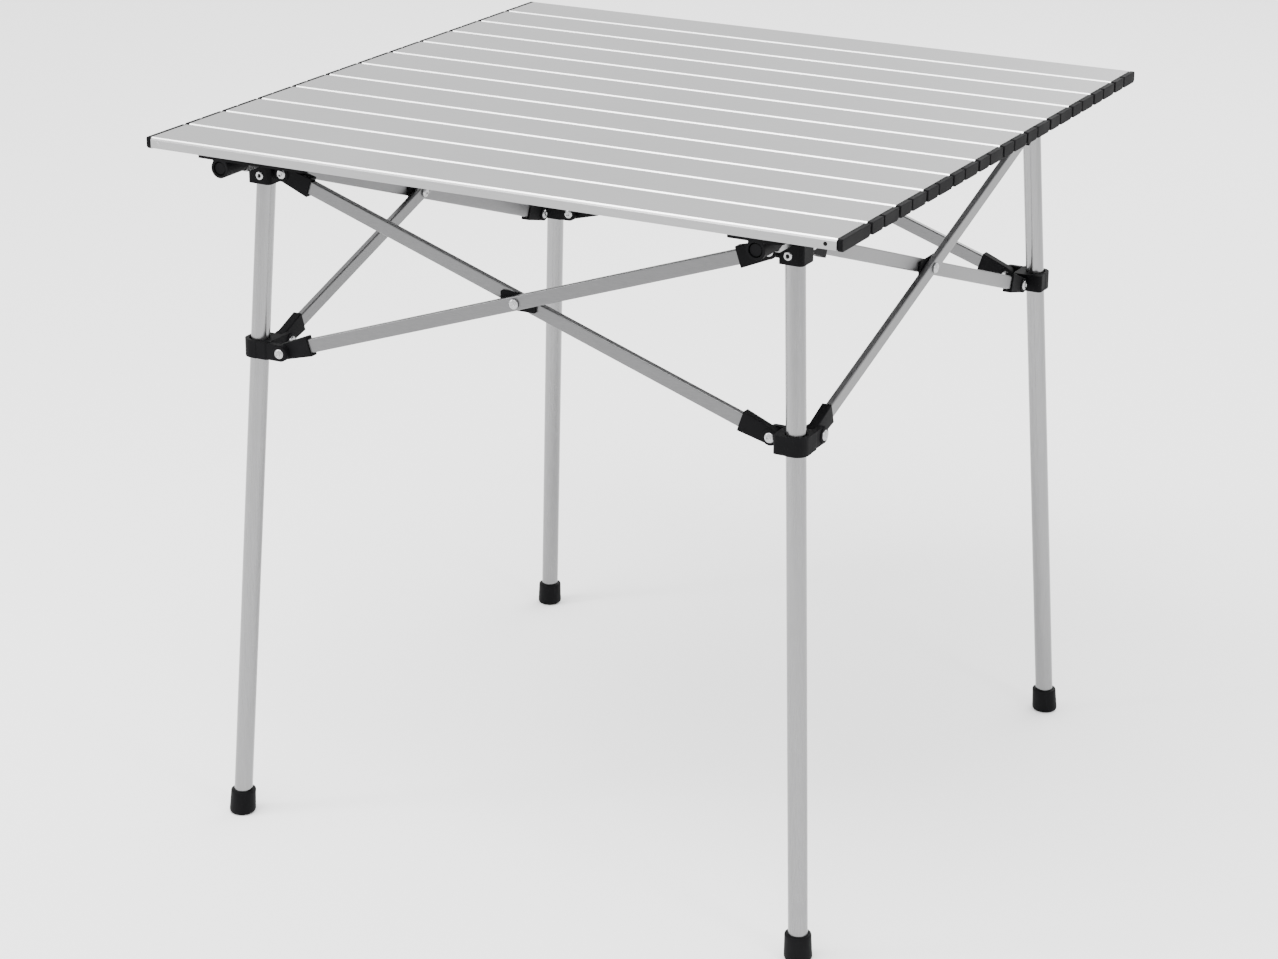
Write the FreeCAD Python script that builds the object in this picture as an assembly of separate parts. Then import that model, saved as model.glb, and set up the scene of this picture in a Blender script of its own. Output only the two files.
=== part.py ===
import FreeCAD, Part
import math
import os

# Folding picnic table: a roll-up top of aluminium slats on a four-legged scissor frame.
# Millimetres, +Z up. The origin is on the floor, under the middle of the top.
# +X runs along the slats, and -Y is the front.

V = FreeCAD.Vector
X_AXIS = V(1, 0, 0)
Y_AXIS = V(0, 1, 0)
Z_AXIS = V(0, 0, 1)

# ---- table top ----
TOP_HEIGHT = 695.0
TOP_DEPTH = 700.0
SLAT_COUNT = 12
SLAT_PITCH = TOP_DEPTH / SLAT_COUNT
SLAT_LENGTH = 691.0
SLAT_THICKNESS = 10.0
SLAT_WALL = 1.2
SEAM_GAP = 0.3              # from a seam to each slat beside it
SEAM_PIVOT_DEPTH = 2.4      # hinge line below the top surface
CAP_THICKNESS = 4.5
CAP_PLUG_LENGTH = 14.0
PLUG_CLEARANCE = 0.1
KNUCKLE_RADIUS = 2.3
KNUCKLE_ROOM = 2.7
KNUCKLE_WIDTH = 1.9
KNUCKLE_GAP = 0.3
KNUCKLE_PIN_RADIUS = 1.1
KNUCKLE_HOLE_RADIUS = 1.16
GRIP_GROOVE_WIDTH = 2.0
GRIP_GROOVE_DEPTH = 1.8
SCALLOP = 3.2               # bevel under each block of an end cap

# ---- rails under the top and the clips that hold them ----
RAIL_X = 271.0
RAIL_WIDTH = 12.0
RAIL_BOTTOM_Z = 664.4
RAIL_TOP_Z = 684.6
RAIL_WALL = 1.2
RAIL_END_Y = 313.0
CLIP_OUTER_X = 296.0
CLIP_LONG_REACH = 118.0     # front left and back right
CLIP_SHORT_REACH = 53.0     # front right and back left
CLIP_PLATE = 3.0
CLIP_FRONT_Y = 347.5
CLIP_DEPTH = 52.0
CLIP_GAP = 0.3
CLIP_CORNER = 4.0
BOSS_Z = 674.3
BOSS_RADIUS = 9.0
BOSS_END_Y = 313.5
BOSS_WEB_WIDTH = 14.0
BOSS_GROOVE_RADIUS = 6.6
BOSS_DISC_RADIUS = 5.6
BOSS_GROOVE_DEPTH = 8.0
BOSS_DISC_RECESS = 1.0
SPIGOT_LENGTH = 28.0
JAW_THICKNESS = 3.7
JAW_BOTTOM_Z = 667.0

# ---- legs ----
LEG_RADIUS = 9.1
LEG_WALL = 1.2
LEG_AXIS_XY = 272.3         # at the hinge in the hub
LEG_HINGE_Z = 655.0
LEG_SPLAY = 0.0541          # outward travel per millimetre down, in X and in Y
LEG_TOP_Z = 661.4
FOOT_HEIGHT = 24.0
FOOT_TOP_RADIUS = 12.4
FOOT_BOTTOM_RADIUS = 13.4
FOOT_SOCKET = 20.0

# ---- scissor bars ----
NEAR_PIVOT = 251.0          # from the middle of a side to the pivots at its left-hand corner
FAR_PIVOT = 255.0           # the same at its right-hand corner
HUB_PIVOT_Z = 656.5
SLIDER_PIVOT_Z = 485.5
SIDE_PLANE = 279.0          # from the middle of the table to the plane between two crossed bars
LAYER_OFFSET = 4.6          # from that plane to the middle of each bar
BAR_HEIGHT = 13.5
BAR_THICKNESS = 6.5
BAR_WALL = 1.1
BAR_CORNER = 1.4
BAR_START = 13.0            # from a pivot to the bar's cut end
END_HEIGHT = 19.6           # at the wide end, where the bar goes in
END_THICKNESS = 9.5
END_TONGUE = 7.5            # radius of the round end about its pivot
END_LENGTH = 31.0
END_EDGE = 1.0
RIVET_RADIUS = 3.0
RUNNING_CLEARANCE = 0.05
RIVET_HEAD_RADIUS = 4.8
RIVET_HEAD_HEIGHT = 1.7
HEAD_GAP = 0.3
SPACER_LENGTH = 36.0
SPACER_HEIGHT = 17.0

# ---- hubs on the leg tops and sliders on the legs ----
HUB_CENTRE = 273.0
HUB_HALF = 12.5
HUB_BOTTOM_Z = 645.5
HUB_TOP_Z = 663.8
HUB_BORE = 10.2
HUB_CEILING_Z = 662.6
HUB_CORNER = 4.5
SLIDER_CENTRE = 281.6
SLIDER_OUTER = 294.5
SLIDER_INNER = 264.3
SLIDER_BOTTOM_Z = 477.0
SLIDER_TOP_Z = 494.0
SLIDER_BORE = 10.1
SLIDER_CORNER = 4.0
LUG_THICKNESS = 5.0
LUG_RADIUS = 8.0
LUG_GAP = 0.3

SWING = 40.0                # longer than anything that it cuts through
CORNERS = ["front_left", "front_right", "back_right", "back_left"]
SIDES = ["front", "right", "back", "left"]


def box(x0, x1, y0, y1, z0, z1):
    return Part.makeBox(x1 - x0, y1 - y0, z1 - z0, V(x0, y0, z0))


def rod(radius, start, end):
    path = end - start
    return Part.makeCylinder(radius, path.Length, start, path)


def prism_along_x(points, x0, x1):
    corners = [V(x0, y, z) for y, z in points]
    return Part.Face(Part.makePolygon(corners + [corners[0]])).extrude(V(x1 - x0, 0, 0))


def fillet_along(shape, direction, radius):
    edges = []
    for edge in shape.Edges:
        ends = edge.Vertexes[-1].Point - edge.Vertexes[0].Point
        if ends.Length > 0 and ends.cross(direction).Length < 1e-6 * ends.Length:
            edges.append(edge)
    return shape.makeFillet(radius, edges)


def quarter_turns(shape, count):
    turned = shape.copy()
    turned.rotate(V(0, 0, 0), Z_AXIS, 90.0 * count)
    return turned


def save(name, solids):
    shape = solids[0] if len(solids) == 1 else Part.makeCompound(solids)
    shape.exportStep("parts/" + name + ".step")
    print(name, len(shape.Solids), round(shape.Volume), shape.isValid())


# ---------------------------------------------------------------- slats and end caps

def slat_outline(front_y, inset):
    """Section of a slat: a flat box whose two top edges are bevelled along the hinge lines."""
    top = TOP_HEIGHT - inset
    bottom = TOP_HEIGHT - SLAT_THICKNESS + inset
    low_y = front_y + SEAM_GAP + inset
    high_y = front_y + SLAT_PITCH - SEAM_GAP - inset
    bevel = SEAM_PIVOT_DEPTH
    return [(low_y, bottom), (high_y, bottom), (high_y, top - bevel), (high_y - bevel, top),
            (low_y + bevel, top), (low_y, top - bevel)]


def make_slat(front_y):
    half = SLAT_LENGTH / 2
    skin = prism_along_x(slat_outline(front_y, 0.0), -half, half)
    return skin.cut(prism_along_x(slat_outline(front_y, SLAT_WALL), -half - 1, half + 1))


def make_end_cap(index, front_y):
    """Right-hand cap: a plug in the slat, a block outside it, and half a hinge at each seam."""
    inner = SLAT_LENGTH / 2
    outer = inner + CAP_THICKNESS
    pivot_z = TOP_HEIGHT - SEAM_PIVOT_DEPTH
    back_y = front_y + SLAT_PITCH
    cap = prism_along_x(slat_outline(front_y, 0.15), inner, outer)
    plug_inset = SLAT_WALL + PLUG_CLEARANCE
    cap = cap.fuse(prism_along_x(slat_outline(front_y, plug_inset), inner - CAP_PLUG_LENGTH, inner + 1))
    bottom = TOP_HEIGHT - SLAT_THICKNESS
    half_groove = GRIP_GROOVE_WIDTH / 2
    middle = front_y + SLAT_PITCH / 2
    if 0 < index < SLAT_COUNT - 1:
        groove = [(middle - half_groove - SCALLOP, bottom - 1), (middle + half_groove + SCALLOP, bottom - 1),
                  (middle + half_groove, bottom + SCALLOP), (middle + half_groove, TOP_HEIGHT + 1),
                  (middle - half_groove, TOP_HEIGHT + 1), (middle - half_groove, bottom + SCALLOP)]
        cap = cap.cut(prism_along_x(groove, outer - GRIP_GROOVE_DEPTH, outer + 1))
    for seam_y, inward in ((front_y, 1), (back_y, -1)):
        bevel = [(seam_y - inward, bottom - 1), (seam_y + inward * (SCALLOP + 1), bottom - 1),
                 (seam_y - inward, bottom + SCALLOP + 1)]
        cap = cap.cut(prism_along_x(bevel, outer - CAP_THICKNESS + 0.3, outer + 1))
    lug_start = inner + KNUCKLE_GAP
    lug_end = lug_start + KNUCKLE_WIDTH
    disc_start = lug_end + KNUCKLE_GAP
    if index < SLAT_COUNT - 1:
        cap = cap.cut(rod(KNUCKLE_ROOM, V(inner - 0.05, back_y, pivot_z), V(disc_start, back_y, pivot_z)))
        cap = cap.fuse(rod(KNUCKLE_RADIUS, V(disc_start, back_y, pivot_z), V(outer, back_y, pivot_z)))
        cap = cap.fuse(rod(KNUCKLE_PIN_RADIUS, V(lug_start, back_y, pivot_z), V(disc_start, back_y, pivot_z)))
    if index > 0:
        cap = cap.cut(rod(KNUCKLE_ROOM, V(lug_end, front_y, pivot_z), V(outer + 1, front_y, pivot_z)))
        cap = cap.fuse(rod(KNUCKLE_RADIUS, V(lug_start, front_y, pivot_z), V(lug_end, front_y, pivot_z)))
        cap = cap.cut(rod(KNUCKLE_HOLE_RADIUS, V(inner, front_y, pivot_z), V(lug_end + 1, front_y, pivot_z)))
    return cap.removeSplitter()


def slat_number(index):
    return "slat_%02d" % (index + 1)


def make_top():
    for index in range(SLAT_COUNT):
        front_y = -TOP_DEPTH / 2 + index * SLAT_PITCH
        save(slat_number(index), [make_slat(front_y)])
        right_cap = make_end_cap(index, front_y)
        left_cap = right_cap.mirror(V(0, 0, 0), X_AXIS)
        save(slat_number(index) + "_end_caps", [left_cap, right_cap])


# ---------------------------------------------------------------- rails and corner clips

def make_clip_blank(side, reach):
    """Front clip: a plate screwed under the end slat and a round boss in line with the rail.

    side is -1 at the left and +1 at the right.
    """
    rail_x = side * RAIL_X
    outer_x = side * CLIP_OUTER_X
    inner_x = side * (CLIP_OUTER_X - reach)
    plate_top = TOP_HEIGHT - SLAT_THICKNESS - CLIP_GAP
    plate = box(min(outer_x, inner_x), max(outer_x, inner_x), -CLIP_FRONT_Y, -CLIP_FRONT_Y + CLIP_DEPTH,
                plate_top - CLIP_PLATE, plate_top)
    plate = fillet_along(plate, Z_AXIS, CLIP_CORNER)
    boss = rod(BOSS_RADIUS, V(rail_x, -CLIP_FRONT_Y, BOSS_Z), V(rail_x, -BOSS_END_Y, BOSS_Z))
    web = box(rail_x - BOSS_WEB_WIDTH / 2, rail_x + BOSS_WEB_WIDTH / 2, -CLIP_FRONT_Y, -BOSS_END_Y,
              BOSS_Z, plate_top - 1)
    face = V(rail_x, -CLIP_FRONT_Y - 1, BOSS_Z)
    disc_face = V(rail_x, -CLIP_FRONT_Y + BOSS_DISC_RECESS, BOSS_Z)
    groove_end = V(rail_x, -CLIP_FRONT_Y + BOSS_GROOVE_DEPTH, BOSS_Z)
    groove = rod(BOSS_GROOVE_RADIUS, face, groove_end).cut(rod(BOSS_DISC_RADIUS, disc_face, groove_end))
    return plate.fuse([boss, web]).cut([groove, rail_slot(side)])


def rail_slot(side):
    """Room for the end of a front rail, open below."""
    half = RAIL_WIDTH / 2 + CLIP_GAP
    return box(side * RAIL_X - half, side * RAIL_X + half, -RAIL_END_Y - CLIP_GAP, -RAIL_END_Y + SWING,
               RAIL_BOTTOM_Z - CLIP_GAP, TOP_HEIGHT)


def make_front_clip(side, reach):
    """The spigot holds the rail's front end."""
    half = RAIL_WIDTH / 2 - RAIL_WALL - PLUG_CLEARANCE
    low = RAIL_BOTTOM_Z + RAIL_WALL + PLUG_CLEARANCE
    high = RAIL_TOP_Z - RAIL_WALL - PLUG_CLEARANCE
    spigot = box(side * RAIL_X - half, side * RAIL_X + half, -BOSS_END_Y - 2, -BOSS_END_Y + SPIGOT_LENGTH,
                 low, high)
    return make_clip_blank(side, reach).fuse(spigot).removeSplitter()


def make_back_clip(side, reach):
    """Two jaws drop over the rail's back end, so this clip lifts straight off. Drawn at the front."""
    clip = make_clip_blank(side, reach)
    plate_top = TOP_HEIGHT - SLAT_THICKNESS - CLIP_GAP
    near = RAIL_WIDTH / 2 + CLIP_GAP
    for x in (side * RAIL_X - near - JAW_THICKNESS, side * RAIL_X + near):
        clip = clip.fuse(box(x, x + JAW_THICKNESS, -BOSS_END_Y - 8, -CLIP_FRONT_Y + CLIP_DEPTH,
                             JAW_BOTTOM_Z, plate_top - 1))
    return clip.removeSplitter()


def make_rails():
    for name, x in (("left", -RAIL_X), ("right", RAIL_X)):
        half = RAIL_WIDTH / 2
        tube = box(x - half, x + half, -RAIL_END_Y, RAIL_END_Y, RAIL_BOTTOM_Z, RAIL_TOP_Z)
        half = half - RAIL_WALL
        bore = box(x - half, x + half, -RAIL_END_Y - 1, RAIL_END_Y + 1, RAIL_BOTTOM_Z + RAIL_WALL,
                   RAIL_TOP_Z - RAIL_WALL)
        save("top_rail_" + name, [tube.cut(bore)])
    save("corner_clips_front", [make_front_clip(-1, CLIP_LONG_REACH), make_front_clip(1, CLIP_SHORT_REACH)])
    back_clips = [make_back_clip(-1, CLIP_LONG_REACH), make_back_clip(1, CLIP_SHORT_REACH)]
    save("corner_clips_back", [quarter_turns(clip, 2) for clip in back_clips])


# ---------------------------------------------------------------- legs and feet

LEG_TILT = math.degrees(math.atan(math.sqrt(2) * LEG_SPLAY))


def splay(shape):
    """Tilt a leg drawn upright at the front left corner so that its foot stands outward."""
    tilted = shape.copy()
    tilted.rotate(V(-LEG_AXIS_XY, -LEG_AXIS_XY, LEG_HINGE_Z), V(1, -1, 0), -LEG_TILT)
    return tilted


def make_leg_and_foot():
    def at(z):
        return V(-LEG_AXIS_XY, -LEG_AXIS_XY, z)

    tube_end = FOOT_HEIGHT - FOOT_SOCKET
    floor_reach = 4.0
    tube = rod(LEG_RADIUS, at(tube_end), at(LEG_TOP_Z))
    tube = tube.cut(rod(LEG_RADIUS - LEG_WALL, at(tube_end - 1), at(LEG_TOP_Z + 1)))
    taper_height = FOOT_HEIGHT + floor_reach
    foot = Part.makeCone(FOOT_BOTTOM_RADIUS, FOOT_TOP_RADIUS, taper_height, at(-floor_reach), Z_AXIS)
    foot = foot.cut(rod(LEG_RADIUS + PLUG_CLEARANCE, at(tube_end - 0.2), at(FOOT_HEIGHT + 1)))
    under_floor = box(-2 * LEG_AXIS_XY, 0, -2 * LEG_AXIS_XY, 0, -SWING, 0)
    return splay(tube), splay(foot).cut(under_floor)


# ---------------------------------------------------------------- hubs and sliders

def lug_across_y(pivot_z, y0, y1, root_x):
    """Lug of a pivot whose axis runs along Y, reaching from root_x to the pivot."""
    eye = rod(LUG_RADIUS, V(-NEAR_PIVOT, y0, pivot_z), V(-NEAR_PIVOT, y1, pivot_z))
    arm = box(root_x, -NEAR_PIVOT, y0, y1, pivot_z - LUG_RADIUS, pivot_z + LUG_RADIUS)
    return eye.fuse(arm)


def lug_across_x(pivot_z, x0, x1, root_y):
    eye = rod(LUG_RADIUS, V(x0, -FAR_PIVOT, pivot_z), V(x1, -FAR_PIVOT, pivot_z))
    arm = box(x0, x1, root_y, -FAR_PIVOT, pivot_z - LUG_RADIUS, pivot_z + LUG_RADIUS)
    return eye.fuse(arm)


def pivot_holes(pivot_z):
    radius = RIVET_RADIUS + RUNNING_CLEARANCE
    reach = SIDE_PLANE + SWING
    near = SIDE_PLANE - SWING
    across_y = rod(radius, V(-NEAR_PIVOT, -reach, pivot_z), V(-NEAR_PIVOT, -near, pivot_z))
    across_x = rod(radius, V(-reach, -FAR_PIVOT, pivot_z), V(-near, -FAR_PIVOT, pivot_z))
    return [across_y, across_x]


# faces of the bar ends in each layer, measured outward from the middle of the table
INNER_LOW = SIDE_PLANE - LAYER_OFFSET - END_THICKNESS / 2
INNER_HIGH = SIDE_PLANE - LAYER_OFFSET + END_THICKNESS / 2
OUTER_LOW = SIDE_PLANE + LAYER_OFFSET - END_THICKNESS / 2
OUTER_HIGH = SIDE_PLANE + LAYER_OFFSET + END_THICKNESS / 2


def make_hub():
    low = -HUB_CENTRE - HUB_HALF
    high = -HUB_CENTRE + HUB_HALF
    block = fillet_along(box(low, high, low, high, HUB_BOTTOM_Z, HUB_TOP_Z), Z_AXIS, HUB_CORNER)
    front_lug = lug_across_y(HUB_PIVOT_Z, -INNER_LOW + LUG_GAP, -INNER_LOW + LUG_GAP + LUG_THICKNESS,
                             -HUB_CENTRE)
    side_lug = lug_across_x(HUB_PIVOT_Z, -OUTER_LOW + LUG_GAP, -OUTER_LOW + LUG_GAP + LUG_THICKNESS,
                            -HUB_CENTRE)
    end_room = box(low - 1, -OUTER_LOW + LUG_GAP, -FAR_PIVOT - END_TONGUE - 2 * LUG_GAP, 0,
                   HUB_BOTTOM_Z - 1, HUB_TOP_Z + 1)
    hub = block.cut(end_room).fuse([front_lug, side_lug])
    trim = box(low - 1, 0, low - 1, 0, HUB_TOP_Z, HUB_TOP_Z + SWING)
    bore = rod(HUB_BORE, V(-LEG_AXIS_XY, -LEG_AXIS_XY, HUB_BOTTOM_Z - SWING),
               V(-LEG_AXIS_XY, -LEG_AXIS_XY, HUB_CEILING_Z))
    return hub.cut([trim, bore] + pivot_holes(HUB_PIVOT_Z)).removeSplitter()


def make_slider():
    """Collar on the leg. Its outer corner is open, which leaves room for the leg's swing."""
    block = box(-SLIDER_OUTER, -SLIDER_INNER, -SLIDER_OUTER, -SLIDER_INNER, SLIDER_BOTTOM_Z, SLIDER_TOP_Z)
    block = fillet_along(block, Z_AXIS, SLIDER_CORNER)
    front_lug = lug_across_y(SLIDER_PIVOT_Z, -OUTER_HIGH - LUG_GAP - LUG_THICKNESS, -OUTER_HIGH - LUG_GAP,
                             -SLIDER_CENTRE + SLIDER_BORE)
    side_lug = lug_across_x(SLIDER_PIVOT_Z, -INNER_LOW + LUG_GAP, -INNER_LOW + LUG_GAP + LUG_THICKNESS,
                            -SLIDER_CENTRE + SLIDER_BORE)
    slider = block.fuse([front_lug, side_lug])
    axis_low = V(-SLIDER_CENTRE, -SLIDER_CENTRE, SLIDER_BOTTOM_Z - 1)
    axis_high = V(-SLIDER_CENTRE, -SLIDER_CENTRE, SLIDER_TOP_Z + 1)
    slot = box(-SWING, 0, -SLIDER_BORE, SLIDER_BORE, 0, axis_high.z - axis_low.z)
    slot.rotate(V(0, 0, 0), Z_AXIS, 45)
    slot.translate(axis_low)
    bore = rod(SLIDER_BORE, axis_low, axis_high)
    return slider.cut([bore, slot] + pivot_holes(SLIDER_PIVOT_Z)).removeSplitter()


# ---------------------------------------------------------------- scissor bars

BAR_DROP = HUB_PIVOT_Z - SLIDER_PIVOT_Z
BAR_SPAN = math.hypot(NEAR_PIVOT + FAR_PIVOT, BAR_DROP)
BAR_SLOPE = math.degrees(math.atan2(BAR_DROP, NEAR_PIVOT + FAR_PIVOT))


def bar_section(x0, x1, inset):
    half_y = BAR_THICKNESS / 2 - inset
    half_z = BAR_HEIGHT / 2 - inset
    return box(x0, x1, -half_y, half_y, -half_z, half_z)


def make_rivet(x, tail_y, head_y):
    """Rivet along Y with a low head at each end, drawn in the bar's own frame."""
    shank = rod(RIVET_RADIUS, V(x, tail_y, 0), V(x, head_y, 0))
    solids = [shank]
    for y, direction in ((tail_y, V(0, 1, 0)), (head_y, V(0, -1, 0))):
        rim = Part.makeCylinder(RIVET_HEAD_RADIUS, RIVET_HEAD_HEIGHT / 2, V(x, y, 0), direction)
        crown_at = V(x, y, 0) + direction * (RIVET_HEAD_HEIGHT / 2)
        crown = Part.makeCone(RIVET_HEAD_RADIUS, RIVET_HEAD_RADIUS * 0.6, RIVET_HEAD_HEIGHT / 2, crown_at,
                              direction)
        solids += [rim, crown]
    return solids[0].fuse(solids[1:]).removeSplitter()


def make_bar_end():
    """Moulded end: round about the pivot at the origin, and widening to a sleeve over the bar."""
    half = END_THICKNESS / 2
    half_height = END_HEIGHT / 2
    corners = [V(0, -half, -END_TONGUE), V(END_LENGTH, -half, -half_height),
               V(END_LENGTH, -half, half_height), V(0, -half, END_TONGUE)]
    body = Part.Face(Part.makePolygon(corners + [corners[0]])).extrude(V(0, END_THICKNESS, 0))
    long_edges = [e for e in body.Edges if abs(e.Vertexes[0].X - e.Vertexes[-1].X) > END_LENGTH / 2]
    body = body.makeFillet(END_EDGE, long_edges)
    tongue = rod(END_TONGUE, V(0, -half, 0), V(0, half, 0))
    end = tongue.fuse(body)
    socket = bar_section(BAR_START - PLUG_CLEARANCE, END_LENGTH + 1, -PLUG_CLEARANCE)
    hole = rod(RIVET_RADIUS + RUNNING_CLEARANCE, V(0, -half - 1, 0), V(0, half + 1, 0))
    return end.cut([socket, hole]).removeSplitter()


def make_bar(far_head_y, near_head_y, tail_y_near, tail_y_far, middle_rivet):
    """Hollow bar from the hub pivot (x = 0) to the slider pivot, with its own rivets."""
    bar = fillet_along(bar_section(BAR_START, BAR_SPAN - BAR_START, 0), X_AXIS, BAR_CORNER)
    bar = bar.cut(bar_section(0, BAR_SPAN, BAR_WALL))
    hole = rod(RIVET_RADIUS + RUNNING_CLEARANCE, V(BAR_SPAN / 2, -SWING, 0), V(BAR_SPAN / 2, SWING, 0))
    solids = [bar.cut(hole)]
    solids.append(make_rivet(0, tail_y_near, near_head_y))
    solids.append(make_rivet(BAR_SPAN, tail_y_far, far_head_y))
    if middle_rivet:
        solids.append(make_rivet(BAR_SPAN / 2, middle_rivet[0], middle_rivet[1]))
    return solids


def make_spacer(thickness):
    """Plastic plate between two crossed bars, in the falling bar's frame."""
    low = BAR_SPAN / 2 - SPACER_LENGTH / 2
    offset = -BAR_THICKNESS / 2 - HEAD_GAP
    plate = box(low, low + SPACER_LENGTH, offset - thickness, offset, -SPACER_HEIGHT / 2, SPACER_HEIGHT / 2)
    plate = fillet_along(plate, Y_AXIS, BAR_CORNER)
    plate.rotate(V(BAR_SPAN / 2, 0, 0), Y_AXIS, -BAR_SLOPE)
    hole = rod(RIVET_RADIUS + RUNNING_CLEARANCE, V(BAR_SPAN / 2, -SWING, 0), V(BAR_SPAN / 2, SWING, 0))
    return plate.cut(hole)


def falling(shape):
    """Put a bar-frame shape on the front side, in the inner layer, from the left hub down."""
    placed = shape.copy()
    placed.rotate(V(0, 0, 0), Y_AXIS, BAR_SLOPE)
    placed.translate(V(-NEAR_PIVOT, -(SIDE_PLANE - LAYER_OFFSET), HUB_PIVOT_Z))
    return placed


def rising(shape):
    """The same in the outer layer, from the right hub down to the left slider."""
    placed = shape.mirror(V(0, 0, 0), X_AXIS)
    placed.rotate(V(0, 0, 0), Y_AXIS, -BAR_SLOPE)
    placed.translate(V(FAR_PIVOT, -(SIDE_PLANE + LAYER_OFFSET), HUB_PIVOT_Z))
    return placed


def far_end(shape):
    """Turn a bar end drawn at the hub pivot round to the slider pivot."""
    turned = shape.copy()
    turned.rotate(V(0, 0, 0), Y_AXIS, 180)
    turned.translate(V(BAR_SPAN, 0, 0))
    return turned


def make_scissors():
    half = END_THICKNESS / 2
    grip = half + LUG_GAP + LUG_THICKNESS + HEAD_GAP
    outside = -(half + HEAD_GAP)
    bar_gap = 2 * LAYER_OFFSET - BAR_THICKNESS
    middle = (BAR_THICKNESS / 2 + HEAD_GAP, -(2 * LAYER_OFFSET + BAR_THICKNESS / 2 + HEAD_GAP))
    falling_bar = make_bar(outside, outside, grip, grip, middle)
    rising_bar = make_bar(-grip, outside, grip, half + HEAD_GAP, None)
    ends = [make_bar_end(), far_end(make_bar_end())]
    spacer = make_spacer(bar_gap - 2 * HEAD_GAP)
    for turn, side in enumerate(SIDES):
        save("bar_" + side + "_falling", [quarter_turns(falling(s), turn) for s in falling_bar])
        save("bar_" + side + "_rising", [quarter_turns(rising(s), turn) for s in rising_bar])
        save("bar_" + side + "_falling_ends", [quarter_turns(falling(s), turn) for s in ends + [spacer]])
        save("bar_" + side + "_rising_ends", [quarter_turns(rising(s), turn) for s in ends])


def make_corners():
    leg, foot = make_leg_and_foot()
    hub = make_hub()
    slider = make_slider()
    for turn, corner in enumerate(CORNERS):
        save("leg_" + corner, [quarter_turns(leg, turn)])
        save("foot_" + corner, [quarter_turns(foot, turn)])
        save("hub_" + corner, [quarter_turns(hub, turn)])
        save("slider_" + corner, [quarter_turns(slider, turn)])


os.makedirs("parts", exist_ok=True)
make_top()
make_rails()
make_corners()
make_scissors()
print("bar span", round(BAR_SPAN, 2), "slope", round(BAR_SLOPE, 3), "leg tilt", round(LEG_TILT, 3))
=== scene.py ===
import math

import bmesh
import bpy
from mathutils import Matrix, Vector


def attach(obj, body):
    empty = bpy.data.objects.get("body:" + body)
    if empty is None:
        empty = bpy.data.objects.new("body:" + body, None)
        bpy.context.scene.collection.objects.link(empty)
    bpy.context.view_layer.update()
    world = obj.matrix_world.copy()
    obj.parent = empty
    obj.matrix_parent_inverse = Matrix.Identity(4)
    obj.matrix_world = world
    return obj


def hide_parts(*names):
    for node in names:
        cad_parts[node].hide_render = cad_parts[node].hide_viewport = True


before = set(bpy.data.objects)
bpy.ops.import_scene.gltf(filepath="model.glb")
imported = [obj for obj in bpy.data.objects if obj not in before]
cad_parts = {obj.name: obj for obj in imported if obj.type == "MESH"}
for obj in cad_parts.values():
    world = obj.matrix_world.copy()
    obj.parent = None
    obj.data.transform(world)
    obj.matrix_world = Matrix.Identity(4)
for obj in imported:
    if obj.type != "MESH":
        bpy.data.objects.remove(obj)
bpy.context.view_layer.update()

CORNERS = ["front_left", "front_right", "back_right", "back_left"]
SIDES = ["front", "right", "back", "left"]
MM = 0.001


# ---------------------------------------------------------------- materials

class Nodes:
    """Short calls for building a node material."""

    def __init__(self, name):
        self.material = bpy.data.materials.new(name)
        self.material.use_nodes = True
        self.tree = self.material.node_tree
        self.shader = self.tree.nodes["Principled BSDF"]
        self.coords = self.add("ShaderNodeTexCoord")
        self.place = self.coords.outputs["Object"]

    def add(self, kind, links=None, **settings):
        node = self.tree.nodes.new(kind)
        for key, value in settings.items():
            if key in node.inputs:
                node.inputs[key].default_value = value
            else:
                setattr(node, key, value)
        for key, source in (links or {}).items():
            self.tree.links.new(source, node.inputs[key])
        return node

    def noise(self, scale, stretch=(1, 1, 1), detail=3.0, roughness=0.55):
        mapped = self.add("ShaderNodeMapping", {"Vector": self.place}, Scale=stretch)
        found = self.add("ShaderNodeTexNoise", {"Vector": mapped.outputs[0]}, Scale=scale, Detail=detail,
                         Roughness=roughness)
        return found.outputs["Fac"]

    def span(self, source, low, high, from_low=0.3, from_high=0.7):
        node = self.add("ShaderNodeMapRange", {"Value": source})
        limits = {"From Min": from_low, "From Max": from_high, "To Min": low, "To Max": high}
        for key, value in limits.items():
            node.inputs[key].default_value = value
        return node.outputs[0]

    def near(self, source, value, margin):
        node = self.add("ShaderNodeMath", {0: source}, operation="COMPARE")
        node.inputs[1].default_value = value
        node.inputs[2].default_value = margin
        return node.outputs[0]

    def blend(self, factor, a, b):
        node = self.add("ShaderNodeMix", data_type="RGBA")
        node.inputs[6].default_value = (*a, 1)
        node.inputs[7].default_value = (*b, 1)
        self.tree.links.new(factor, node.inputs[0])
        return node.outputs[2]

    def bump(self, height, strength, distance, normal=None):
        links = {"Height": height}
        if normal is not None:
            links["Normal"] = normal
        return self.add("ShaderNodeBump", links, Strength=strength, Distance=distance).outputs[0]

    def soft_edges(self, radius):
        return self.add("ShaderNodeBevel", Radius=radius, samples=4).outputs[0]

    def wire(self, **sources):
        for key, source in sources.items():
            self.tree.links.new(source, self.shader.inputs[key.replace("_", " ")])

    def fix(self, **values):
        for key, value in values.items():
            self.shader.inputs[key.replace("_", " ")].default_value = value


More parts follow.
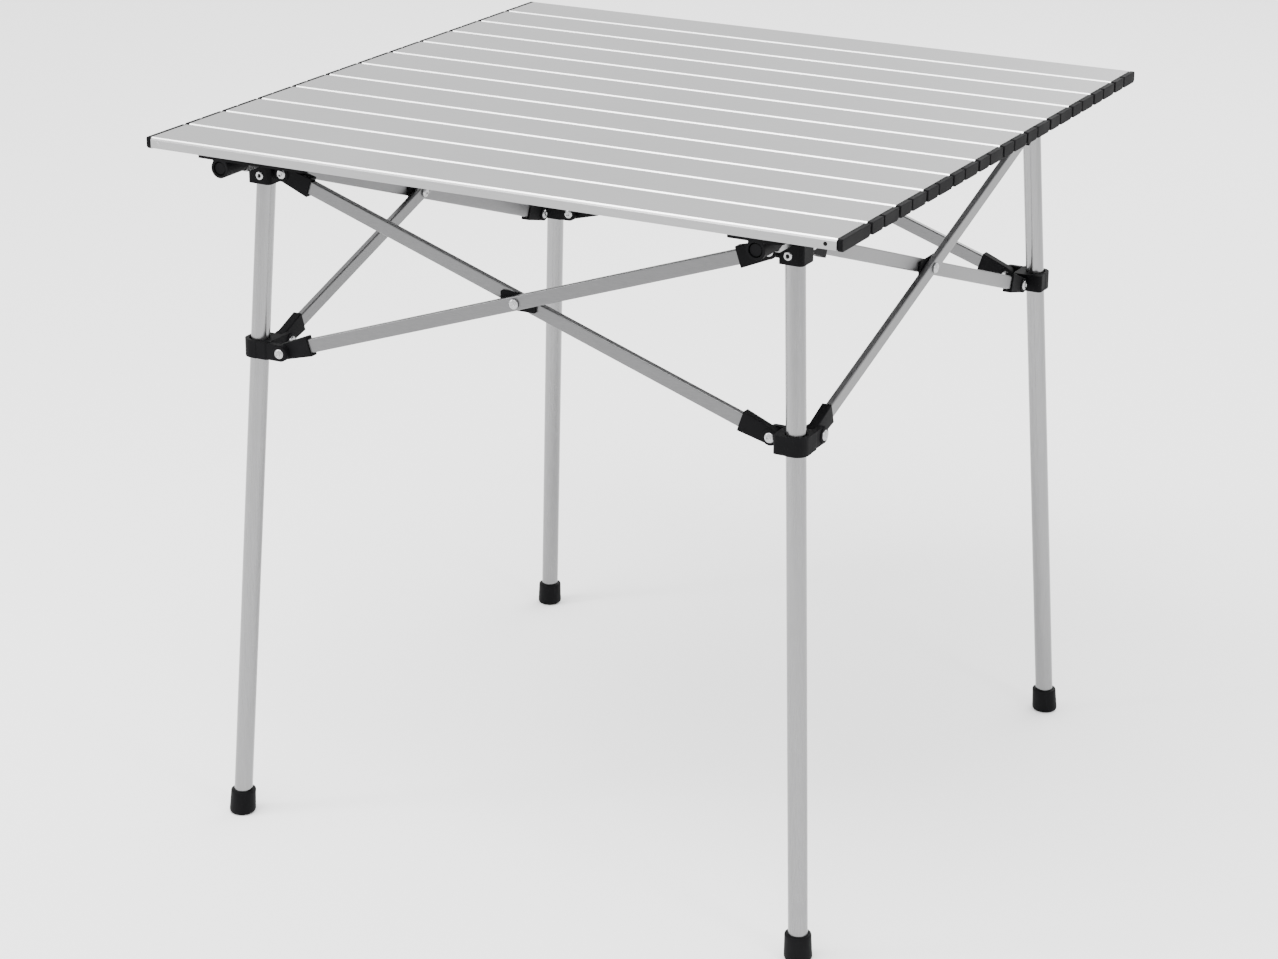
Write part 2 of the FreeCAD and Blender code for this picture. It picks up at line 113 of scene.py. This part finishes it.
def brushed_aluminium(name, dark, light, rough, metallic, grain, edge=0.0003, bevel_highlight=None):
    """Anodised aluminium with a fine grain. grain is how far each axis is squeezed.

    The bevel colour is a painted highlight: near-white laid on the faces that lean 45 degrees to the front at
    the slat top height.
    """
    n = Nodes(name)
    fine = n.noise(1.0, grain, 4.0, 0.6)
    broad = n.noise(5.0, (1, 1, 1), 2.0)
    colour = n.blend(n.span(fine, 0, 1), dark, light)
    # Painted highlight: faces leaning 45 degrees to the front at the slat top are coloured near-white.
    if bevel_highlight:
        lean = n.add("ShaderNodeSeparateXYZ", {"Vector": n.coords.outputs["Normal"]}).outputs["Y"]
        height = n.add("ShaderNodeSeparateXYZ", {"Vector": n.place}).outputs["Z"]
        highlight_faces = n.add("ShaderNodeMath", {0: n.near(lean, -0.7071, 0.2), 1: n.near(height, 0.6946, 0.0006)},
                    operation="MULTIPLY").outputs[0]
        mix = n.add("ShaderNodeMix", data_type="RGBA")
        n.tree.links.new(highlight_faces, mix.inputs[0])
        n.tree.links.new(colour, mix.inputs[6])
        mix.inputs[7].default_value = (*bevel_highlight, 1)
        colour = mix.outputs[2]
    n.wire(Base_Color=colour)
    mixed = n.add("ShaderNodeMath", {0: fine, 1: broad}, operation="ADD").outputs[0]
    n.wire(Roughness=n.span(mixed, rough - 0.04, rough + 0.05, 0.7, 1.3))
    n.wire(Normal=n.bump(fine, 0.10, 0.0001, n.soft_edges(edge)))
    n.fix(Metallic=metallic)
    return n.material


def moulded_plastic(name, dark, light, rough, edge=0.0006):
    """Black moulded plastic with a fine sparked texture and broad, faint changes of tone."""
    n = Nodes(name)
    spark = n.noise(1400.0, (1, 1, 1), 2.0)
    broad = n.noise(28.0, (1, 1, 1), 3.0)
    n.wire(Base_Color=n.blend(n.span(broad, 0, 1, 0.35, 0.75), dark, light))
    n.wire(Roughness=n.span(broad, rough - 0.06, rough + 0.08))
    n.wire(Normal=n.bump(spark, 0.12, 0.00008, n.soft_edges(edge)))
    n.fix(IOR=1.2, Specular_IOR_Level=0.2)
    return n.material


def rivet_steel(name, tone, rough):
    """Bright plated steel with a few faint scratches."""
    n = Nodes(name)
    scratch = n.noise(260.0, (1, 6, 1), 5.0, 0.7)
    n.wire(Base_Color=n.blend(n.span(scratch, 0, 1), tuple(t * 0.86 for t in tone), tone))
    n.wire(Roughness=n.span(scratch, rough - 0.05, rough + 0.08))
    n.wire(Normal=n.bump(scratch, 0.06, 0.00006))
    n.fix(Metallic=1.0)
    return n.material


# The slats carry a painted highlight, near-white, on their front-leaning top bevels.
SLAT = brushed_aluminium("brushed_slat", (0.255, 0.255, 0.257), (0.29, 0.29, 0.292), 0.38, 0.9,
                         (40, 2600, 2600), edge=0.00012, bevel_highlight=(0.97, 0.97, 0.97))
TUBE = brushed_aluminium("satin_leg", (0.19, 0.19, 0.192), (0.22, 0.22, 0.222), 0.25, 1.0, (900, 900, 30))
BAR = brushed_aluminium("satin_bar", (0.11, 0.11, 0.112), (0.13, 0.13, 0.132), 0.36, 0.95, (120, 120, 1500))
PLASTIC = moulded_plastic("black_moulding", (0.0022, 0.0022, 0.0025), (0.005, 0.005, 0.0055), 0.58)
FOOT = moulded_plastic("black_foot", (0.0022, 0.0022, 0.0025), (0.005, 0.005, 0.0055), 0.50)
RIVET = rivet_steel("rivet_steel", (0.34, 0.34, 0.345), 0.22)
# Painted shade: near-black laid in the eyelet holes and on the right crimp, standing in for the shade in
# these recesses.
RECESS_SHADE = moulded_plastic("painted_recess_shade", (0.004, 0.004, 0.004), (0.007, 0.007, 0.007), 0.7)


def paint(obj, material):
    for slot in obj.material_slots:
        slot.material = material
    if not obj.material_slots:
        obj.data.materials.append(material)


for name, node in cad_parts.items():
    if name.startswith("slat_") and not name.endswith("_end_caps"):
        paint(node, SLAT)
    elif name.startswith(("leg_", "top_rail_")):
        paint(node, TUBE)
    elif name.startswith("bar_") and not name.endswith("_ends"):
        paint(node, BAR)
    elif name.startswith("foot_"):
        paint(node, FOOT)
    else:
        paint(node, PLASTIC)


# ---------------------------------------------------------------- mesh helpers

def quarter(k):
    return Matrix.Rotation(math.radians(90 * k), 4, "Z")


def new_piece(name, verts, faces, material, body, smooth=True):
    mesh = bpy.data.meshes.new(name)
    mesh.from_pydata([tuple(v) for v in verts], [], faces)
    mesh.validate()
    bm = bmesh.new()
    bm.from_mesh(mesh)
    bmesh.ops.recalc_face_normals(bm, faces=bm.faces)
    bm.to_mesh(mesh)
    bm.free()
    for face in mesh.polygons:
        face.use_smooth = smooth
    obj = bpy.data.objects.new(name, mesh)
    bpy.context.scene.collection.objects.link(obj)
    mesh.materials.append(material)
    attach(obj, body)
    return obj


def lathe(profile, base, axis, turns=36):
    """Rings of (radius, height) in millimetres about an axis, closed where the radius is zero."""
    axis = Vector(axis).normalized()
    side = axis.orthogonal().normalized()
    other = axis.cross(side)
    verts, faces, rings = [], [], []
    for radius, height in profile:
        ring = []
        count = 1 if radius < 1e-6 else turns
        for i in range(count):
            a = 2 * math.pi * i / turns
            p = Vector(base) + axis * height + (side * math.cos(a) + other * math.sin(a)) * radius
            ring.append(len(verts))
            verts.append(p * MM)
        rings.append(ring)
    for low, high in zip(rings, rings[1:]):
        for i in range(turns):
            j = (i + 1) % turns
            quad = [low[i % len(low)], low[j % len(low)], high[j % len(high)], high[i % len(high)]]
            faces.append(list(dict.fromkeys(quad)))
    return verts, faces


def turned(verts, k):
    return [quarter(k) @ Vector(v) for v in verts]


# ---------------------------------------------------------------- closed slider collars

def prism(outline, z0, z1):
    """A flat outline in X and Y, in millimetres, drawn up from z0 to z1."""
    count = len(outline)
    verts = [Vector((x, y, z)) * MM for z in (z0, z1) for x, y in outline]
    faces = [list(range(count))[::-1], [count + i for i in range(count)]]
    faces += [[i, (i + 1) % count, count + (i + 1) % count, count + i] for i in range(count)]
    return verts, faces


COLLAR_CENTRE = -281.6
COLLAR_OUTER = -294.7
COLLAR_RADIUS = 11.0
COLLAR_BORE = 9.9
COLLAR_OVERLAP = 4.0
COLLAR_BORE_SPREAD = 42
COLLAR_BOTTOM = 476.8
COLLAR_TOP = 494.2
ROUND_STEPS = 8
BORE_STEPS = 16


def collar_corner():
    """The outer corner of a slider, which closes the collar round the leg."""
    outline = [(COLLAR_OUTER, COLLAR_CENTRE + COLLAR_OVERLAP)]
    for step in range(ROUND_STEPS + 1):
        a = math.radians(180 + 90 * step / ROUND_STEPS)
        outline.append((COLLAR_OUTER + COLLAR_RADIUS + COLLAR_RADIUS * math.cos(a),
                        COLLAR_OUTER + COLLAR_RADIUS + COLLAR_RADIUS * math.sin(a)))
    outline.append((COLLAR_CENTRE + COLLAR_OVERLAP, COLLAR_OUTER))
    start = math.radians(270 + COLLAR_BORE_SPREAD)
    end = math.radians(180 - COLLAR_BORE_SPREAD)
    for step in range(BORE_STEPS + 1):
        a = start + (end - start) * step / BORE_STEPS
        outline.append((COLLAR_CENTRE + COLLAR_BORE * math.cos(a), COLLAR_CENTRE + COLLAR_BORE * math.sin(a)))
    return outline


for k, corner in enumerate(CORNERS):
    verts, faces = prism(collar_corner(), COLLAR_BOTTOM, COLLAR_TOP)
    new_piece("collar_" + corner, turned(verts, k), faces, PLASTIC, "slider_" + corner,
              smooth=False)


# ---------------------------------------------------------------- feet

FOOT_PROFILE = [(9.2, 24.4), (11.6, 24.4), (12.2, 24.0), (12.5, 23.0), (12.55, 19.0), (12.9, 9.0),
                (13.15, 4.0), (13.1, 2.6), (12.7, 1.2), (11.8, 0.25), (10.6, 0.0), (0.0, 0.0)]
SPLAY = 0.0541
LEG_AXIS = 272.3
LEG_AXIS_Z = 655.0


def lean(v):
    """A point round the Z axis, moved out to the splayed front left leg."""
    shift = -(LEG_AXIS + SPLAY * (LEG_AXIS_Z - v.z / MM)) * MM
    return Vector((v.x + shift, v.y + shift, v.z))


for k, corner in enumerate(CORNERS):
    verts, faces = lathe(FOOT_PROFILE, (0, 0, 0), (0, 0, 1), 48)
    leaned = [lean(v) for v in verts]
    piece = new_piece("foot_shoe_" + corner, turned(leaned, k), faces, FOOT, "leg_" + corner)
    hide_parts("foot_" + corner)


# ---------------------------------------------------------------- end caps
# Each layer is (x, inset) in millimetres; the left end is the right end mirrored.

SLAT_COUNT = 12
SLAT_PITCH = 700.0 / SLAT_COUNT
PAD_LAYERS = [(346.4, 0.0), (349.9, 0.0), (350.5, 0.25), (350.8, 0.8)]
PLATE_LAYERS = [(345.5, 0.0), (346.8, 0.0), (347.0, 0.2)]
KNUCKLE = [(0.0, 346.4), (1.5, 346.4), (1.5, 349.4), (1.2, 349.7), (0.0, 349.7)]
SEAM_CLEAR = 1.6
SPLIT = 0.45
SPLIT_CLEAR = 0.8
END_CLEAR = 0.3
TOP_FRONT = -350.0
PLATE_BOTTOM = 685.3
PLATE_TOP = 693.2
PAD_BOTTOM = 683.6
PAD_TOP = 694.9
SEAM_PIVOT_Z = 692.6
CORNER_STEPS = 6


def rounded_block(y0, y1, z0, z1, low_radius, high_radius, layers):
    """A block facing +X with rounded corners; layers are (x, inset) from its back to its face."""
    verts, faces = [], []
    for x, inset in layers:
        low = low_radius - inset
        high = high_radius - inset
        a, b, c, d = y0 + inset, y1 - inset, z0 + inset, z1 - inset
        corners = [(a + low, c + low, low, 180), (b - low, c + low, low, 270), (b - high, d - high, high, 0),
                   (a + high, d - high, high, 90)]
        for cy, cz, radius, start in corners:
            for step in range(CORNER_STEPS + 1):
                angle = math.radians(start + 90 / CORNER_STEPS * step)
                verts.append(Vector((x, cy + radius * math.cos(angle), cz + radius * math.sin(angle))) * MM)
    ring = 4 * (CORNER_STEPS + 1)
    faces.append(list(range(ring))[::-1])
    for layer in range(len(layers) - 1):
        at = layer * ring
        for i in range(ring):
            j = (i + 1) % ring
            faces.append([at + i, at + j, at + ring + j, at + ring + i])
    faces.append([(len(layers) - 1) * ring + i for i in range(ring)])
    return verts, faces


def join(parts):
    """Several (verts, faces) pairs as one."""
    verts, faces = [], []
    for more_verts, more_faces in parts:
        start = len(verts)
        verts += more_verts
        faces += [[start + i for i in face] for face in more_faces]
    return verts, faces


for index in range(SLAT_COUNT):
    front = TOP_FRONT + index * SLAT_PITCH
    back = front + SLAT_PITCH
    first = front + (END_CLEAR if index == 0 else SEAM_CLEAR)
    last = back - (END_CLEAR if index == SLAT_COUNT - 1 else SEAM_CLEAR)
    split = front + SLAT_PITCH * SPLIT
    pads = [(first, last)] if index == 0 else [(first, split - SPLIT_CLEAR), (split + SPLIT_CLEAR, last)]
    plate_start = first - SPLIT_CLEAR if index else first
    parts = [rounded_block(plate_start, last, PLATE_BOTTOM, PLATE_TOP, 1.2, 1.2, PLATE_LAYERS)]
    for low, high in pads:
        parts.append(rounded_block(low, high, PAD_BOTTOM, PAD_TOP, 3.6, 1.6, PAD_LAYERS))
    if index < SLAT_COUNT - 1:
        parts.append(lathe(KNUCKLE, (0, back, SEAM_PIVOT_Z), (1, 0, 0), 20))
    verts, faces = join(parts)
    both = [verts, [Vector((-v.x, v.y, v.z)) for v in verts]]
    verts, faces = join([(side, faces) for side in both])
    number = "slat_%02d" % (index + 1)
    piece = new_piece("cap_blocks_" + number, verts, faces, PLASTIC, number, False)
    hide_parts(number + "_end_caps")


# ---------------------------------------------------------------- rivet heads

DOME = [(4.95, 0.0), (4.95, 1.0), (4.75, 1.5), (4.2, 2.0), (3.4, 2.4), (2.6, 2.6), (2.1, 2.5), (1.8, 2.15),
        (1.6, 1.85), (0.0, 1.8)]
BOSS = [(7.5, -0.3), (7.5, 0.45), (7.2, 0.8), (5.6, 0.8), (5.3, 0.6), (0.0, 0.6)]
NEAR = 251.0
FAR = 255.0
HUB_Z = 656.5
SLIDER_Z = 485.5
INNER = -274.4              # the two layers that the crossed bars lie in
OUTER = -283.6
LUG_FACE = 5.05             # from a layer to the free face of the bar end
LUG_BACK = 10.35            # from a layer to the far face of the lug
BAR_FACE = 3.55
OUTWARD = (0, -1, 0)
INWARD = (0, 1, 0)

for k, side in enumerate(SIDES):
    falling = "bar_" + side + "_falling"
    rising = "bar_" + side + "_rising"
    heads = [
        (falling, "hub_out", (-NEAR, INNER - LUG_FACE, HUB_Z), OUTWARD),
        (falling, "hub_in", (-NEAR, INNER + LUG_BACK, HUB_Z), INWARD),
        (falling, "slider_out", (FAR, INNER - LUG_FACE, SLIDER_Z), OUTWARD),
        (falling, "slider_in", (FAR, INNER + LUG_BACK, SLIDER_Z), INWARD),
        (falling, "middle_out", ((FAR - NEAR) / 2, OUTER - BAR_FACE, (HUB_Z + SLIDER_Z) / 2), OUTWARD),
        (falling, "middle_in", ((FAR - NEAR) / 2, INNER + BAR_FACE, (HUB_Z + SLIDER_Z) / 2), INWARD),
        (rising, "hub_out", (FAR, OUTER - LUG_FACE, HUB_Z), OUTWARD),
        (rising, "hub_in", (FAR, OUTER + LUG_BACK, HUB_Z), INWARD),
        (rising, "slider_out", (-NEAR, OUTER - LUG_BACK, SLIDER_Z), OUTWARD),
        (rising, "slider_in", (-NEAR, OUTER + LUG_FACE, SLIDER_Z), INWARD),
    ]
    for body, label, at, direction in heads:
        verts, faces = lathe(DOME, at, direction, 32)
        new_piece("rivet_" + body[4:] + "_" + label, turned(verts, k), faces, RIVET, body)
        if "middle" not in label:
            verts, faces = lathe(BOSS, at, direction, 40)
            name = "boss_" + body[4:] + "_" + label
            new_piece(name, turned(verts, k), faces, PLASTIC, body)


# ---------------------------------------------------------------- hub fixings and slat crimps

EYELET = [(1.5, -1.2), (1.6, 0.3), (2.2, 0.85), (3.0, 0.95), (3.8, 0.6), (4.1, 0.0), (4.1, -0.3)]
EYELET_HOLE = [(1.55, -0.9), (0.0, -0.95)]
HUB_FACE = 285.5
HUB_INNER_FACE = 260.5
FIXING_X = 271.5
FIXING_Z = 653.5

CORNER_SIGNS = [(-1, -1), (1, -1), (1, 1), (-1, 1)]

for corner, (sx, sy) in zip(CORNERS, CORNER_SIGNS):
    for label, y, way in (("out", sy * HUB_FACE, sy), ("in", sy * HUB_INNER_FACE, -sy)):
        # The disc in each eyelet hole is coloured with painted shade.
        for part, profile, material in (("eyelet", EYELET, RIVET), ("eyelet_hole", EYELET_HOLE, RECESS_SHADE)):
            verts, faces = lathe(profile, (sx * FIXING_X, y, FIXING_Z), (0, way, 0), 32)
            new_piece(part + "_" + corner + "_" + label, verts, faces, material, "hub_" + corner)

FACE_Y = -349.7
CRIMP_Z = 689.6
CRIMP = [(1.9, 0.02), (1.6, 0.16), (1.2, 0.05), (0.5, 0.02), (0.0, 0.02)]
# The right crimp is coloured with painted shade.
for label, x, material in (("left", -337.0, RIVET), ("right", 335.5, RECESS_SHADE)):
    verts, faces = lathe(CRIMP, (x, FACE_Y, CRIMP_Z), (0, -1, 0), 24)
    new_piece("crimp_" + label, verts, faces, material, "slat_01")


# ---------------------------------------------------------------- light, floor, camera

def add_area(name, location, target, width, height, energy):
    light = bpy.data.lights.new(name, "AREA")
    light.shape = "RECTANGLE"
    light.size = width
    light.size_y = height
    light.energy = energy
    obj = bpy.data.objects.new(name, light)
    bpy.context.scene.collection.objects.link(obj)
    obj.location = location
    obj.rotation_euler = (Vector(target) - Vector(location)).to_track_quat("-Z", "Y").to_euler()


add_area("key_top", (-0.4, -1.5, 3.4), (0, 0, 0.5), 3.0, 1.6, 150)
add_area("strip_left", (-2.8, -2.3, 2.0), (0, 0, 0.5), 0.7, 2.4, 66)
add_area("strip_right", (3.4, -1.4, 2.0), (0, 0, 0.4), 0.6, 2.2, 44)
add_area("fill_back", (0.6, 3.4, 2.6), (0, 0, 0.6), 3.0, 1.4, 75)

world = bpy.data.worlds.new("studio")
world.use_nodes = True
bpy.context.scene.world = world
background = world.node_tree.nodes["Background"]
background.inputs["Color"].default_value = (1, 1, 1, 1)
background.inputs["Strength"].default_value = 2.3

floor_mesh = bpy.data.meshes.new("floor")
REACH = 30                  # metres
FLOOR_Z = -0.0005
floor_corners = [(sx * REACH, sy * REACH, FLOOR_Z) for sx, sy in CORNER_SIGNS]
floor_mesh.from_pydata(floor_corners, [], [(0, 1, 2, 3)])
floor = bpy.data.objects.new("floor", floor_mesh)
bpy.context.scene.collection.objects.link(floor)
pale = Nodes("pale_floor")
pale.wire(Base_Color=pale.blend(pale.noise(0.8), (0.94, 0.94, 0.94), (0.95, 0.95, 0.95)))
pale.fix(Roughness=0.9, Specular_IOR_Level=0.1)
floor_mesh.materials.append(pale.material)

CAMERA_PLACE = (1.3347, -2.5261, 1.3797)
CAMERA_LENS = 85.58
yaw = math.radians(-28.281)
pitch = math.radians(20.556)
roll = math.radians(0.238)
forward = Vector((math.sin(yaw) * math.cos(pitch), math.cos(yaw) * math.cos(pitch), -math.sin(pitch)))
right = Vector((math.cos(yaw), -math.sin(yaw), 0))
up = right.cross(forward)
across = right * math.cos(roll) + up * math.sin(roll)
upward = up * math.cos(roll) - right * math.sin(roll)
camera_data = bpy.data.cameras.new("camera")
camera_data.sensor_fit = "HORIZONTAL"
camera_data.sensor_width = 36.0
camera_data.lens = CAMERA_LENS
camera_data.clip_end = 100
camera = bpy.data.objects.new("camera", camera_data)
bpy.context.scene.collection.objects.link(camera)
turn = Matrix((across, upward, -forward)).transposed().to_4x4()
camera.matrix_world = Matrix.Translation(CAMERA_PLACE) @ turn
bpy.context.scene.camera = camera
